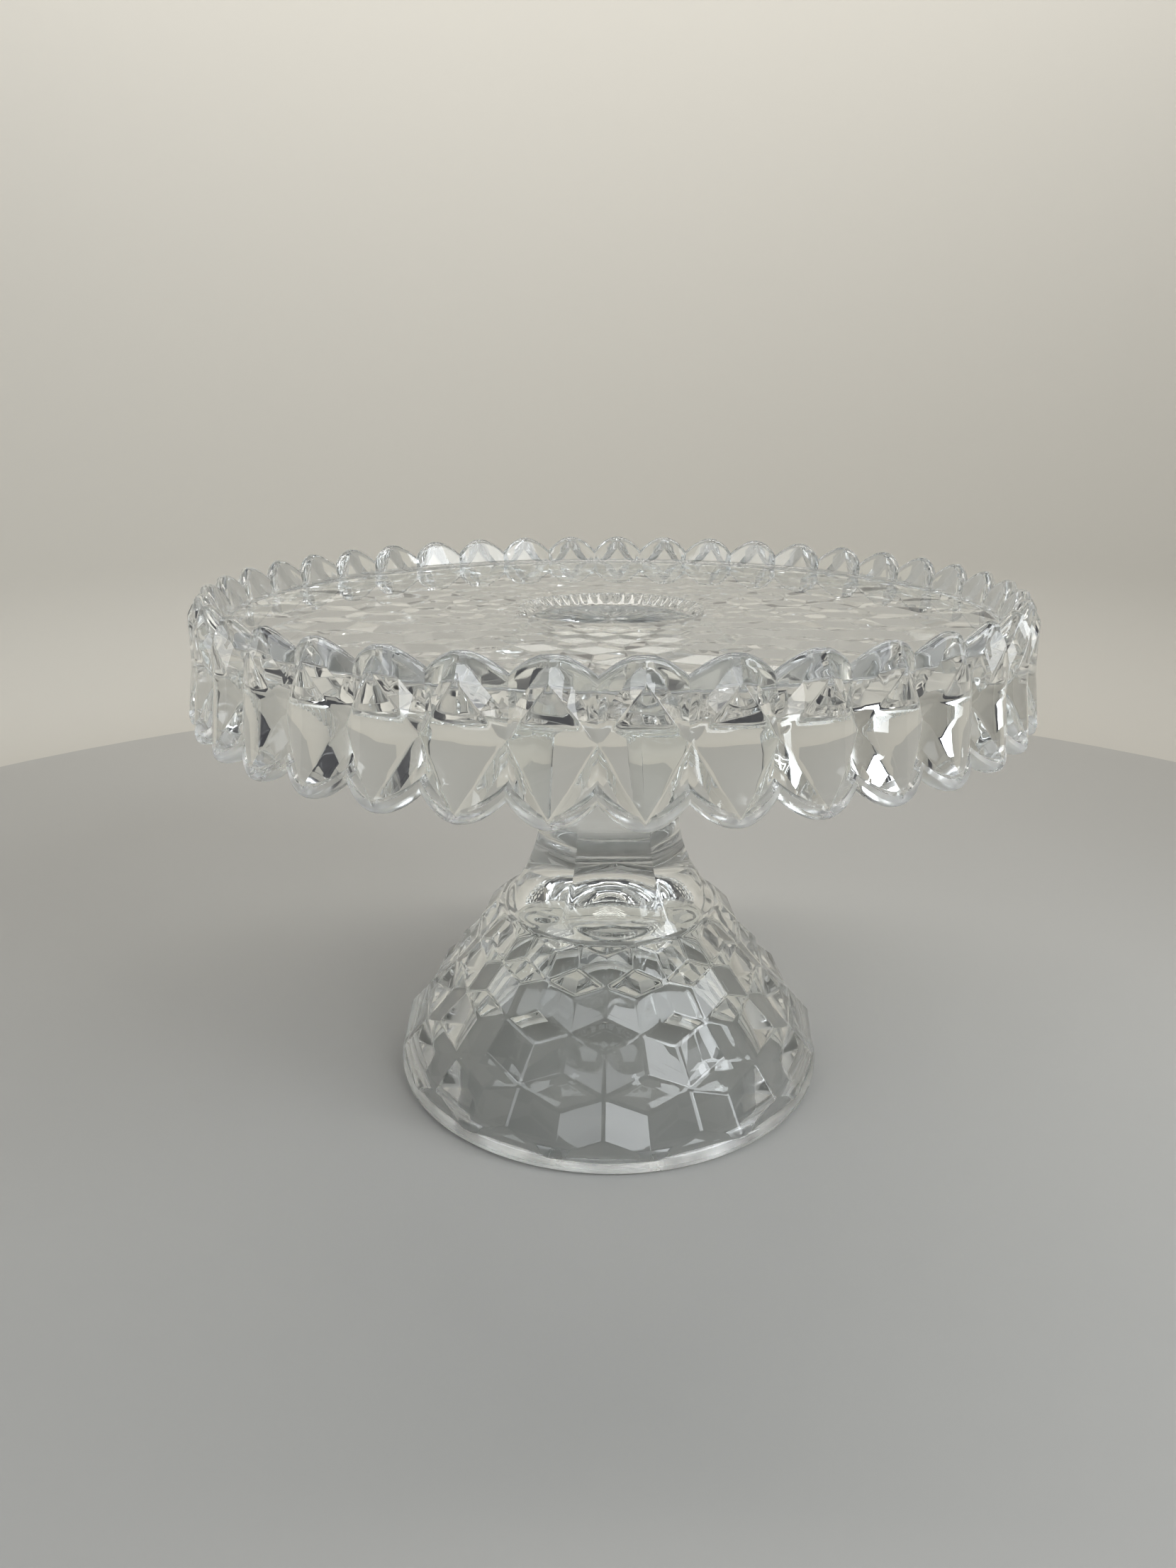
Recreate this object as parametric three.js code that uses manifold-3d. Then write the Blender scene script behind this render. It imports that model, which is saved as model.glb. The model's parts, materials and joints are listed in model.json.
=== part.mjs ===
// A pressed-glass pedestal cake stand: a scalloped plate and the hollow foot that carries it.
// Millimetres, +Z up. The origin is the centre of the circle that the foot stands on.
// Angles run round the Z axis: 0 faces -Y, the front, and they grow towards +X.

import * as THREE from "three";
import { mergeVertices } from "three/addons/utils/BufferGeometryUtils.js";
import Module from "manifold-3d";

const wasm = await Module();
wasm.setup();

// Plate: a flat disc with a well in the middle.
const PLATE_TOP = 162.5;
const PLATE_UNDERSIDE = 156.0;
const DISC_EDGE_RADIUS = 123.0;
const WELL_RADIUS = 30.4;
const WELL_FLOOR_RADIUS = 26.0;
const WELL_DEPTH = 3.8;
const WELL_TEETH = 52;
const WELL_TOOTH_DEPTH = 0.9;

// Plate: the band round it, a gallery above the disc and a skirt below it.
const SCALLOPS = 39;
const SCALLOP_PHASE = THREE.MathUtils.degToRad(3.4);
const COLUMNS_PER_SCALLOP = 4;
const BAND_RADIUS = 126.6;
const LOBE_CROWN = 2.8;
const SKIRT_FLARE = 3.2;
const WAIST_HEIGHT = 153.0;
const CREST_HEIGHT = 172.5;
const CREST_VALLEY_HEIGHT = 167.2;
const LIP_HEIGHT = 133.6;
const LIP_VALLEY_HEIGHT = 139.0;
const DIAMOND_RISE = 13.6;
const DIAMOND_DROP = 16.3;
const BEVEL_WIDTH = 3.0;
const RECESS_DEPTH = 2.5;
const EDGE_ROUNDING = 1.5;
const BEVEL_CLEARANCE = 0.6;
const LIP_INSET = 0.6;
const LIP_SINK_SHARE = 0.7;
const CREST_INSET = 0.8;
const CREST_SINK_SHARE = 0.5;
const GALLERY_INNER_RADIUS = 120.2;
const GALLERY_DRAFT = 2.8;
const SKIRT_INNER_RADIUS = 121.8;
const SKIRT_DRAFT = 2.7;
const FILLET = 1.7;

// Plate: the stacked cubes pressed into the underside, which grow outwards in proportion.
const PLATE_CUBES = 26;
const PLATE_CUBE_PHASE = THREE.MathUtils.degToRad(-3.6);
const PLATE_CUBE_START_RADIUS = 30.7;
const PLATE_CUBE_GROWTH = 1.0714;
const PLATE_CUBE_RINGS = 11;
const PLATE_CUBE_RELIEF = 0.013;

// The joint, where the stem is stuck to the plate while both are hot.
const JOINT_HEIGHT = 153.0;
const JOINT_RADIUS = 30.2;
const JOINT_GAP = 0.3;

// Pedestal: a cone of stacked cubes, which grow downwards.
const FOOT_CUBES = 15;
const FOOT_CUBE_PHASE = THREE.MathUtils.degToRad(-1.0);
const FOOT_CUBE_TOP = 60.1;
const FOOT_CUBE_STEP = 3.5;
const FOOT_CUBE_GROWTH = 1.05;
const FOOT_CUBE_RINGS = 7;
const CONE_RADIUS = 78.3;
const CONE_SLOPE = 0.648;
const CONE_BULGE = 1.9;
const CONE_BULGE_HEIGHT = 20;
const CONE_BULGE_REACH = 16;
const CUBE_CORNERS = {
  side: { share: 1.0, lift: 0.2 },
  front: { share: 0.962, lift: 0.2 },
  back: { share: 1.052, lift: 1.5 },
};
const CUBE_EDGE_INSET = 0.4;
const CONE_BASE_RADIUS = 68;
const CONE_TOP_RADIUS = 33.5;
const CONE_OVERLAP = 1.0;

// Pedestal: the stem, the foot ring and the hollow.
const STEM_FLUTES = 6;
const STEM_FLUTE_PHASE = THREE.MathUtils.degToRad(-26);
const STEM_FLUTE_DEPTH = 1.9;
const COLUMNS_PER_FLUTE = 10;
const STEM_RINGS = 12;
const FOOT_RADIUS = 75.2;
const FOOT_RING_HEIGHT = 6.0;
const FOOT_COLUMNS = 90;
const HOLLOW_RADIUS = 68.6;
const MOUTH_FLARE = 1.4;
const CUTTER_OVERSHOOT = 1.0;

const GLASS_LOOK = { color: 0xdfe6e4, roughness: 0.03, metalness: 0, transparent: true, opacity: 0.45 };

// The stem's outline from inside the cone up to the joint.
const STEM_OUTLINE = new THREE.SplineCurve([
  new THREE.Vector2(38.4, 58.8),
  new THREE.Vector2(33.6, 66.0),
  new THREE.Vector2(28.4, 74.0),
  new THREE.Vector2(24.9, 84.0),
  new THREE.Vector2(23.4, 98.0),
  new THREE.Vector2(24.0, 118.0),
  new THREE.Vector2(26.6, 138.0),
  new THREE.Vector2(JOINT_RADIUS, JOINT_HEIGHT - JOINT_GAP),
]);

// The hollow's wall above its flared mouth.
const HOLLOW_WALL = [
  [66.3, 6],
  [61, 18],
  [46.5, 38],
  [33.5, 52],
  [22.5, 60.5],
  [12, 65.5],
  [5, 67.4],
  [0, 67.8],
];

// A lathe about Z whose rings are then reshaped. shape(ring, column) gives a ring's radius, angle
// and height at a column. leansBack(ring, column) picks the other diagonal of a cell.
function reliefLathe(outline, columns, shape, leansBack) {
  const geometry = new THREE.LatheGeometry(outline, columns);
  const position = geometry.getAttribute("position");
  const rings = outline.length;
  for (let i = 0; i < position.count; i++) {
    const column = Math.floor(i / rings) % columns;
    const { radius, angle, height } = shape(i % rings, column);
    position.setXYZ(i, radius * Math.sin(angle), -radius * Math.cos(angle), height);
  }
  if (leansBack) turnDiagonals(geometry.index, columns, rings, leansBack);
  return geometry;
}

// Splits the chosen cells of a lathe along their other diagonal.
function turnDiagonals(index, columns, rings, leansBack) {
  for (let column = 0; column < columns; column++) {
    for (let ring = 0; ring < rings - 1; ring++) {
      if (!leansBack(ring, column)) continue;
      const low = column * rings + ring;
      const lowNext = low + rings;
      const cell = [low, lowNext, lowNext + 1, low, lowNext + 1, low + 1];
      index.array.set(cell, (column * (rings - 1) + ring) * cell.length);
    }
  }
}

// A plain lathe about Z.
function plainLathe(outline, columns) {
  const shape = (ring, column) => ({
    radius: outline[ring].x,
    angle: (column / columns) * 2 * Math.PI,
    height: outline[ring].y,
  });
  return reliefLathe(outline, columns, shape);
}

function outlineOf(...points) {
  return points.map(([radius, height]) => new THREE.Vector2(radius, height));
}

function solidOf(geometry) {
  geometry.deleteAttribute("normal");
  geometry.deleteAttribute("uv");
  const merged = mergeVertices(geometry);
  return new wasm.Manifold(
    new wasm.Mesh({
      numProp: 3,
      vertProperties: merged.getAttribute("position").array,
      triVerts: new Uint32Array(merged.index.array),
    }),
  );
}

function meshOf(name, solid) {
  const { vertProperties, triVerts } = solid.getMesh();
  const geometry = new THREE.BufferGeometry();
  geometry.setAttribute("position", new THREE.BufferAttribute(vertProperties, 3));
  geometry.setIndex(new THREE.BufferAttribute(triVerts, 1));
  geometry.computeVertexNormals();
  const mesh = new THREE.Mesh(geometry, new THREE.MeshStandardMaterial(GLASS_LOOK));
  mesh.name = name;
  return mesh;
}

// Stacked cubes are drawn on half steps. A step's corner is a cube's side corner, its front corner
// or its back corner in turn. Odd columns hold the even steps, and even columns the odd ones, so
// each ring of points zigzags by one step.
const CORNERS = ["side", "front", "back"];

function cubeStep(ring, column) {
  return 2 * ring - (column % 2 === 0 ? 1 : 0);
}

function cubeCorner(step) {
  return CORNERS[(step + CORNERS.length) % CORNERS.length];
}

// The underside of the disc, where front corners hang down and back corners go up.
function plateCubePoint(ring, column) {
  const step = cubeStep(ring, column);
  const grown = PLATE_CUBE_START_RADIUS * PLATE_CUBE_GROWTH ** (step - 1);
  const radius = Math.min(grown, DISC_EDGE_RADIUS - 0.5);
  const relief = { side: 0, front: -1, back: 1 }[cubeCorner(step)] * PLATE_CUBE_RELIEF * radius;
  return { radius, height: PLATE_UNDERSIDE + relief };
}

function makeDisc() {
  const columns = 2 * PLATE_CUBES;
  const below = outlineOf([0, JOINT_HEIGHT], [JOINT_RADIUS, JOINT_HEIGHT]);
  const cubes = Array.from({ length: PLATE_CUBE_RINGS }, () => new THREE.Vector2(1, 0));
  const above = outlineOf(
    [DISC_EDGE_RADIUS, PLATE_UNDERSIDE],
    [DISC_EDGE_RADIUS, PLATE_TOP],
    [0, PLATE_TOP],
  );
  const outline = [...below, ...cubes, ...above];
  const firstCubeRing = below.length;
  const lastCubeRing = below.length + cubes.length - 1;
  const shape = (ring, column) => {
    const angle = PLATE_CUBE_PHASE + (column * Math.PI) / PLATE_CUBES;
    const isCube = ring >= firstCubeRing && ring <= lastCubeRing;
    if (!isCube) return { radius: outline[ring].x, angle, height: outline[ring].y };
    return { ...plateCubePoint(ring - firstCubeRing + 1, column), angle };
  };
  const leansBack = (ring, column) => column % 2 === 1;
  return solidOf(reliefLathe(outline, columns, shape, leansBack));
}

// The well's cutter: a shallow tapered plug whose wall is toothed.
function makeWellCutter() {
  const columns = 2 * WELL_TEETH;
  const floor = PLATE_TOP - WELL_DEPTH;
  const outline = outlineOf(
    [0, floor],
    [WELL_FLOOR_RADIUS, floor],
    [WELL_RADIUS, PLATE_TOP],
    [WELL_RADIUS, PLATE_TOP + CUTTER_OVERSHOOT],
    [0, PLATE_TOP + CUTTER_OVERSHOOT],
  );
  const shape = (ring, column) => {
    const tooth = column % 2 === 0 || ring === 0 || ring === 1 ? 0 : WELL_TOOTH_DEPTH;
    const radius = Math.max(0, outline[ring].x - tooth);
    return { radius, angle: (column * Math.PI) / WELL_TEETH, height: outline[ring].y };
  };
  return solidOf(reliefLathe(outline, columns, shape));
}

// Across one scallop, 0 is the middle of its diamond and 1 is the valley beside it.
function acrossScallop(column) {
  const share = (column % COLUMNS_PER_SCALLOP) / COLUMNS_PER_SCALLOP;
  return 1 - Math.abs(2 * share - 1);
}

function bandRadius(height) {
  const down = Math.max(0, (WAIST_HEIGHT - height) / (WAIST_HEIGHT - LIP_HEIGHT));
  return BAND_RADIUS + SKIRT_FLARE * down;
}

// The band's outline at one place across a scallop, from the skirt's inner edge up the outside and
// back down the inside. Each scallop bulges outwards between its valleys.
function bandPoints(across) {
  const arch = Math.cos((across * Math.PI) / 2) ** 0.9;
  const crown = LOBE_CROWN * (1 - across ** 2);
  const crest = CREST_VALLEY_HEIGHT + (CREST_HEIGHT - CREST_VALLEY_HEIGHT) * arch;
  const lip = LIP_VALLEY_HEIGHT + (LIP_HEIGHT - LIP_VALLEY_HEIGHT) * arch;
  const low = WAIST_HEIGHT - DIAMOND_DROP * (1 - across);
  const high = WAIST_HEIGHT + DIAMOND_RISE * (1 - across);
  const halfPitch = (Math.PI * BAND_RADIUS) / SCALLOPS;
  const bevel = BEVEL_WIDTH * Math.hypot(1, DIAMOND_DROP / halfPitch);
  const lowBevel = Math.max(low - bevel, lip + EDGE_ROUNDING + BEVEL_CLEARANCE);
  const highBevel = Math.min(high + bevel, crest - EDGE_ROUNDING - BEVEL_CLEARANCE);
  const lowSunk = (RECESS_DEPTH * (low - lowBevel)) / bevel;
  const highSunk = (RECESS_DEPTH * (highBevel - high)) / bevel;
  const front = BAND_RADIUS + crown;
  const lipOut = bandRadius(lip) + crown - LIP_INSET - LIP_SINK_SHARE * lowSunk;
  const lipIn = SKIRT_INNER_RADIUS + SKIRT_DRAFT;
  const crestOut = front - CREST_INSET - CREST_SINK_SHARE * highSunk;
  const crestIn = GALLERY_INNER_RADIUS + GALLERY_DRAFT * arch;
  return outlineOf(
    [lipIn, lip + EDGE_ROUNDING],
    [(lipIn + lipOut) / 2, lip],
    [lipOut, lip + EDGE_ROUNDING],
    [bandRadius(lowBevel) + crown - lowSunk, lowBevel],
    [bandRadius(low) + crown, low],
    [front, WAIST_HEIGHT],
    [front, high],
    [front - highSunk, highBevel],
    [crestOut, crest - EDGE_ROUNDING],
    [(crestIn + crestOut) / 2, crest],
    [crestIn, crest - EDGE_ROUNDING],
    [GALLERY_INNER_RADIUS, PLATE_TOP + FILLET],
    [GALLERY_INNER_RADIUS - FILLET, PLATE_TOP],
    [GALLERY_INNER_RADIUS - FILLET, PLATE_UNDERSIDE + 2 * FILLET],
    [SKIRT_INNER_RADIUS, PLATE_UNDERSIDE - 2 * FILLET],
    [lipIn, lip + EDGE_ROUNDING],
  );
}

function makeBand() {
  const columns = SCALLOPS * COLUMNS_PER_SCALLOP;
  const shape = (ring, column) => {
    const { x: radius, y: height } = bandPoints(acrossScallop(column))[ring];
    return { radius, angle: SCALLOP_PHASE + (column / columns) * 2 * Math.PI, height };
  };
  const leansBack = (ring, column) => column % COLUMNS_PER_SCALLOP >= COLUMNS_PER_SCALLOP / 2;
  return solidOf(reliefLathe(bandPoints(0), columns, shape, leansBack));
}

function makePlate() {
  return makeDisc().add(makeBand()).subtract(makeWellCutter());
}

function coneRadius(height) {
  const bulge = 1 - ((height - CONE_BULGE_HEIGHT) / CONE_BULGE_REACH) ** 2;
  return CONE_RADIUS - CONE_SLOPE * height + CONE_BULGE * Math.max(0, bulge);
}

// The cone's cubes. Their back corners stand proud of the cone, and their front ones are sunk.
function footCubePoint(ring, column) {
  const step = cubeStep(ring, column);
  const fallen = (FOOT_CUBE_STEP * (FOOT_CUBE_GROWTH ** step - 1)) / (FOOT_CUBE_GROWTH - 1);
  const { share, lift } = CUBE_CORNERS[cubeCorner(step)];
  const height = FOOT_CUBE_TOP + lift - fallen;
  return { radius: Math.min(coneRadius(height) * share, FOOT_RADIUS - CUBE_EDGE_INSET), height };
}

// The top ring of cubes is cut off level, half-way up its cubes' tops.
function footTopPoint(column) {
  const corner = coneRadius(FOOT_CUBE_TOP);
  const isCorner = column % 2 === 1;
  const radius = isCorner ? corner : corner * Math.cos(Math.PI / FOOT_CUBES);
  return { radius, height: FOOT_CUBE_TOP };
}

function makeConeOfCubes() {
  const columns = 2 * FOOT_CUBES;
  const bottom = outlineOf([0, CONE_OVERLAP], [CONE_BASE_RADIUS, CONE_OVERLAP]);
  const cubes = Array.from({ length: FOOT_CUBE_RINGS }, () => new THREE.Vector2(1, 0));
  const topHeight = FOOT_CUBE_TOP + CONE_OVERLAP;
  const top = outlineOf([CONE_TOP_RADIUS, topHeight], [0, topHeight]);
  const outline = [...bottom, ...cubes, ...top];
  const topCubeRing = bottom.length + cubes.length - 1;
  const shape = (ring, column) => {
    const angle = FOOT_CUBE_PHASE + (column * Math.PI) / FOOT_CUBES;
    if (ring === topCubeRing) return { ...footTopPoint(column), angle };
    const isCube = ring >= bottom.length && ring < topCubeRing;
    if (isCube) return { ...footCubePoint(topCubeRing - ring, column), angle };
    return { radius: outline[ring].x, angle, height: outline[ring].y };
  };
  const leansBack = (ring, column) => column % 2 === 0;
  return solidOf(reliefLathe(outline, columns, shape, leansBack));
}

// A six-sided stem whose sides are shallow flutes.
function makeStem() {
  const columns = STEM_FLUTES * COLUMNS_PER_FLUTE;
  const side = STEM_OUTLINE.getSpacedPoints(STEM_RINGS);
  const start = new THREE.Vector2(0, side[0].y);
  const end = new THREE.Vector2(0, side[side.length - 1].y);
  const outline = [start, ...side, end];
  const shape = (ring, column) => {
    const { x: radius, y: height } = outline[ring];
    const across = (column % COLUMNS_PER_FLUTE) / COLUMNS_PER_FLUTE;
    const fade = THREE.MathUtils.smoothstep(JOINT_HEIGHT - height, 2, 30);
    const flute = STEM_FLUTE_DEPTH * fade * Math.sin(Math.PI * across) ** 0.8;
    const angle = STEM_FLUTE_PHASE + (column / columns) * 2 * Math.PI;
    return { radius: Math.max(0, radius - flute), angle, height };
  };
  return solidOf(reliefLathe(outline, columns, shape));
}

// The smooth rounded ring that the cubes run into.
function makeFootRing() {
  const flatInner = HOLLOW_RADIUS - 3;
  const flatOuter = FOOT_RADIUS - 2;
  const outline = outlineOf(
    [flatInner, 0],
    [flatOuter, 0],
    [FOOT_RADIUS - 0.5, 0.8],
    [FOOT_RADIUS, 2.4],
    [FOOT_RADIUS - 0.3, 4.2],
    [FOOT_RADIUS - 1.4, FOOT_RING_HEIGHT - 0.5],
    [FOOT_RADIUS - 3.0, FOOT_RING_HEIGHT],
    [flatInner, FOOT_RING_HEIGHT],
    [flatInner, 0],
  );
  return solidOf(plainLathe(outline, FOOT_COLUMNS));
}

// The hollow that the plunger leaves: a cone with a domed top, flared at its mouth.
function makeHollow() {
  const outline = outlineOf(
    [0, -CUTTER_OVERSHOOT],
    [HOLLOW_RADIUS, -CUTTER_OVERSHOOT],
    [HOLLOW_RADIUS, 0],
    [HOLLOW_RADIUS - MOUTH_FLARE, MOUTH_FLARE],
    ...HOLLOW_WALL,
  );
  return solidOf(plainLathe(outline, FOOT_COLUMNS));
}

function makePedestal() {
  return makeConeOfCubes().add(makeStem()).add(makeFootRing()).subtract(makeHollow());
}

const group = new THREE.Group();
group.add(meshOf("plate", makePlate()));
group.add(meshOf("pedestal", makePedestal()));

export default group;
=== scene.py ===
"""A pressed-glass pedestal cake stand: a scalloped plate on a hollow foot of stacked cubes.

Sizes are millimetres, unless a comment says metres. MM turns them into metres when a point is made.
Angles run round the Z axis: 0 faces -Y, the front, and they grow towards +X.
"""

import json
import math
from types import SimpleNamespace

import bmesh
import bpy
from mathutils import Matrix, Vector


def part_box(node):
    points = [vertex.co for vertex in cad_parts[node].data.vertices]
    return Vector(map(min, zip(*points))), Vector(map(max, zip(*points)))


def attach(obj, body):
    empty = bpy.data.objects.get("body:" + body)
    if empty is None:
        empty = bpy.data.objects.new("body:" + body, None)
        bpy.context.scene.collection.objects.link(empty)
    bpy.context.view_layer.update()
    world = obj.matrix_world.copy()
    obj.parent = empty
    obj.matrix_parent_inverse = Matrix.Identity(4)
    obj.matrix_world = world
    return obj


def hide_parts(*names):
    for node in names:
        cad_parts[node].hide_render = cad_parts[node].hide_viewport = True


MM = 0.001

# Points closer than this, in metres, are one point.
MERGE_DISTANCE = 1e-6

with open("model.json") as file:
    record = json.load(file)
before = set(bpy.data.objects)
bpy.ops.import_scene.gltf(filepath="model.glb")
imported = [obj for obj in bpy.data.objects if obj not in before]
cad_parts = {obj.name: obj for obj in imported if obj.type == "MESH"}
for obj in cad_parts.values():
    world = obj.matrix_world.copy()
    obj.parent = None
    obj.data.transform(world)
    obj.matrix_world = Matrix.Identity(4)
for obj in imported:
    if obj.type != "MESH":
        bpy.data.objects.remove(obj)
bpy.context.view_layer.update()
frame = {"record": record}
PLATE_LOW, PLATE_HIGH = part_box("plate")
FOOT_LOW, FOOT_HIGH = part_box("pedestal")
CAKE_MOUNT = next(m for m in frame["record"]["mounts"] if m["name"] == "cake_surface")

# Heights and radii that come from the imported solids.
CREST_HEIGHT = PLATE_HIGH.z / MM
LIP_HEIGHT = PLATE_LOW.z / MM
PLATE_TOP = CAKE_MOUNT["pos_m"][2] / MM
FOOT_RADIUS = FOOT_HIGH.x / MM
HALF_JOINT_GAP = 0.15
JOINT_HEIGHT = FOOT_HIGH.z / MM + HALF_JOINT_GAP

# Disc of the plate.
PLATE_THICKNESS = 6.5
UNDERSIDE = PLATE_TOP - PLATE_THICKNESS
DISC_EDGE_RADIUS = 123.6
DISC_EDGE_DROP = 1.0
DISC_MIDDLE_RADIUS = 80
DISC_CORE_RADIUS = 20

# Well in the middle of the plate. The side's points are outwards and up from the edge of its floor.
WELL_RADIUS = 30.4
WELL_MARGIN = 3
WELL_LIP_ROUNDING = 0.6
WELL_LIP_STEPS = 4
WELL_SIDE = [(3.2, 2.2), (1.4, 0.7), (0.4, 0.1)]
WELL_FLOOR_RADIUS = 26.0
WELL_FLOOR_RINGS = 12
WELL_DEPTH = 3.8
WELL_TEETH = 52
WELL_TOOTH_DEPTH = 1.0
WELL_RIM_DEPTH = 0.1
STAR_RAYS = 26
STAR_DEPTH = 0.35
WELL_COLUMNS = 312

# Band round the plate: scallops with a diamond each, between a crest above and a lip below.
SCALLOPS = 39
SCALLOP_PHASE = math.radians(3.4)
SCALLOP_COLUMNS = 16
BAND_RADIUS = 126.6
LOBE_CROWN = 2.8
SKIRT_FLARE = 3.2
WAIST_HEIGHT = 153.0
CREST_DIP = 5.3
LIP_DIP = 5.4
DIP_POWER = 0.9
DIAMOND_RISE = 13.6
DIAMOND_DROP = 16.3
DIAMOND_CROWN = 0.25
DIAMOND_ROWS = 8
BEVEL_HEIGHT = 5.2
RECESS_DEPTH = 2.9
RECESS_CREASE = 0.5
RECESS_CREASE_POWER = 4
RECESS_CREASE_START = 0.5
UPPER_RECESS_LEAN = 0.5
DIAMOND_ROUNDING = 0.5
BEAD_HEIGHT = 3.4
BEAD_DEPTH = 0.8
BEAD_STEP = 0.6
POCKET_LIFT = 0.9
POCKET_STEP = 0.3
LEAST_STEP = 0.05
LIP_ROUNDING = 1.8
CREST_ROUNDING = 2.4
CREST_STEP = 0.4
ROUNDING_STEPS = 8
GALLERY_RADIUS = 120.5
GALLERY_DRAFT = 2.8
SKIRT_INNER_RADIUS = 121.4
SKIRT_DRAFT = 3.2
FILLET = 2.0
FILLET_STEPS = 5
SKIRT_FILLET = 4.0
SKIRT_FILLET_LIFT = 1.6
SKIRT_FILLET_STEPS = 6

# Where the band's section turns inside the disc. Both are inwards from the gallery's fillet. The first
# is up from the plate's top, and the second from the top of the skirt's fillet.
BAND_ROOT_ABOVE = (0.4, -0.25)
BAND_ROOT_BELOW = (1.0, 1.0)

# Cubes under the plate.
PLATE_CUBES = 26
PLATE_CUBE_PHASE = math.radians(-3.6)
PLATE_CUBE_START_RADIUS = 30.7
PLATE_CUBE_GROWTH = 1.0714
PLATE_CUBE_LAST_STEP = 22
PLATE_CUBE_RELIEF = 0.019
PLATE_CUBE_ROUNDING = 0.35

# Joint, with the collar under the well. The flare is (across, up).
JOINT_RADIUS = 30.2
COLLAR_FLARE = (3.6, 3.8)
COLLAR_FLARE_START = 0.6
COLLAR_TOP = (3.4, 1.9)

# Cubes on the foot. Lifts and shares are for a cube's side, front and back corners.
FOOT_CUBES = 15
FOOT_CUBE_PHASE = math.radians(-1.0)
FOOT_CUBE_TOP = 60.1
FOOT_CUBE_STEP = 3.5
FOOT_CUBE_GROWTH = 1.05
FOOT_CUBE_LAST_STEP = 13
FOOT_CUBE_ROUNDING = 0.9
FOOT_CUBE_LOWEST = 3.2
FOOT_CUBE_INSET = 0.4
CORNER_LIFTS = (0.2, 0.2, 1.5)
CORNER_SHARES = (1.0, 0.962, 1.052)
CONE_RADIUS = 78.3
CONE_SLOPE = 0.648
CONE_BULGE = 1.9
CONE_BULGE_HEIGHT = 20.0
CONE_BULGE_REACH = 16.0
LEDGE_SHARE = 0.9
LEDGE_RISE = 0.6
CONE_FLOOR_SHARE = 0.92
CONE_FLOOR_HEIGHT = 2.4

# Foot ring. Its outer side is two quarter rounds that meet at the waist.
FOOT_RING_TOP = 5.6
FOOT_RING_ROUNDING = 2.0
FOOT_RING_WAIST = 2.6
FOOT_RING_OVERLAP = 3
FOOT_COLUMNS = 192
FOOT_WEAR_HEIGHT = 2.6

# Stem. Its flutes end in scoops below and fade out above.
STEM_OUTLINE = [(37.4, 60.0), (33.4, 66), (28.4, 74), (24.9, 84), (23.4, 98), (24.0, 118), (26.6, 138)]
STEM_FLUTES = 6
STEM_FLUTE_PHASE = math.radians(-26)
STEM_FLUTE_DEPTH = 1.9
FLUTE_COLUMNS = 24
FLUTE_FADE_END = 2
FLUTE_FADE_LENGTH = 28
STEM_RINGS = 64
SCOOP_HEIGHT = 5.0
SCOOP_START = 1.5

# Hollow of the foot, as (radius, height) from the mouth up.
HOLLOW_OUTLINE = [(67.2, 1.6), (66.3, 6), (61, 18), (46.5, 38), (33.5, 52), (22.5, 60.5), (12, 65.5),
                  (5, 67.4), (0.8, 67.8)]
HOLLOW_RINGS = 60
HOLLOW_MOUTH_RADIUS = 68.6
HOLLOW_MOUTH_ROUNDING = (1.4, 1.6)
HOLLOW_MOUTH_FLARE = 0.3
CUTTER_DROP = 2.0
CUTTER_CORE = 1.0

# Edges that bend more than this stay sharp.
SHARP_DEGREES = 28


def polar(radius, angle, height):
    return Vector((radius * math.sin(angle), -radius * math.cos(angle), height)) * MM


def mesh_object(name, bm):
    mesh = bpy.data.meshes.new(name)
    bm.to_mesh(mesh)
    bm.free()
    obj = bpy.data.objects.new(name, mesh)
    bpy.context.scene.collection.objects.link(obj)
    return obj


def add_rings(bm, columns, rings, point):
    """Rings of vertices round Z: point(ring, column) gives radius, angle and height."""
    return [[bm.verts.new(polar(*point(r, c))) for c in range(columns)] for r in range(rings)]


def join_rings(bm, lower, upper):
    """Quads from one ring out or up to the next, facing out."""
    count = len(lower)
    for c in range(count):
        n = (c + 1) % count
        bm.faces.new((lower[c], lower[n], upper[n], upper[c]))


def revolved(name, columns, rings, point, closed=False):
    """A closed solid of rings. The ends are faces, unless closed joins the last ring to the first."""
    bm = bmesh.new()
    made = add_rings(bm, columns, rings, point)
    for lower, upper in zip(made, made[1:]):
        join_rings(bm, lower, upper)
    if closed:
        join_rings(bm, made[-1], made[0])
    else:
        bm.faces.new(reversed(made[0]))
        bm.faces.new(made[-1])
    bmesh.ops.remove_doubles(bm, verts=bm.verts, dist=MERGE_DISTANCE)
    return mesh_object(name, bm)


def lathe(name, outline, columns, closed=False):
    def point(ring, column):
        radius, height = outline[ring]
        return radius, 2 * math.pi * column / columns, height
    return revolved(name, columns, len(outline), point, closed)


def arc(centre, radius, start, end, steps):
    """Points of an ellipse's arc: radius is (across, up), and the angles are degrees from outwards."""
    turns = [math.radians(start + (end - start) * i / steps) for i in range(steps + 1)]
    return [(centre[0] + radius[0] * math.cos(t), centre[1] + radius[1] * math.sin(t)) for t in turns]


def smooth_outline(points, count):
    """A Catmull-Rom curve through the points."""
    padded = [points[0]] + list(points) + [points[-1]]
    made = []
    for i in range(count + 1):
        along = (len(points) - 1) * i / count
        k = min(int(along), len(points) - 2)
        t = along - k
        p = [Vector(q) for q in padded[k:k + 4]]
        made.append(tuple(0.5 * ((2 * p[1]) + (p[2] - p[0]) * t
                                 + (2 * p[0] - 5 * p[1] + 4 * p[2] - p[3]) * t * t
                                 + (3 * p[1] - p[0] - 3 * p[2] + p[3]) * t * t * t)))
    return made


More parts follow.
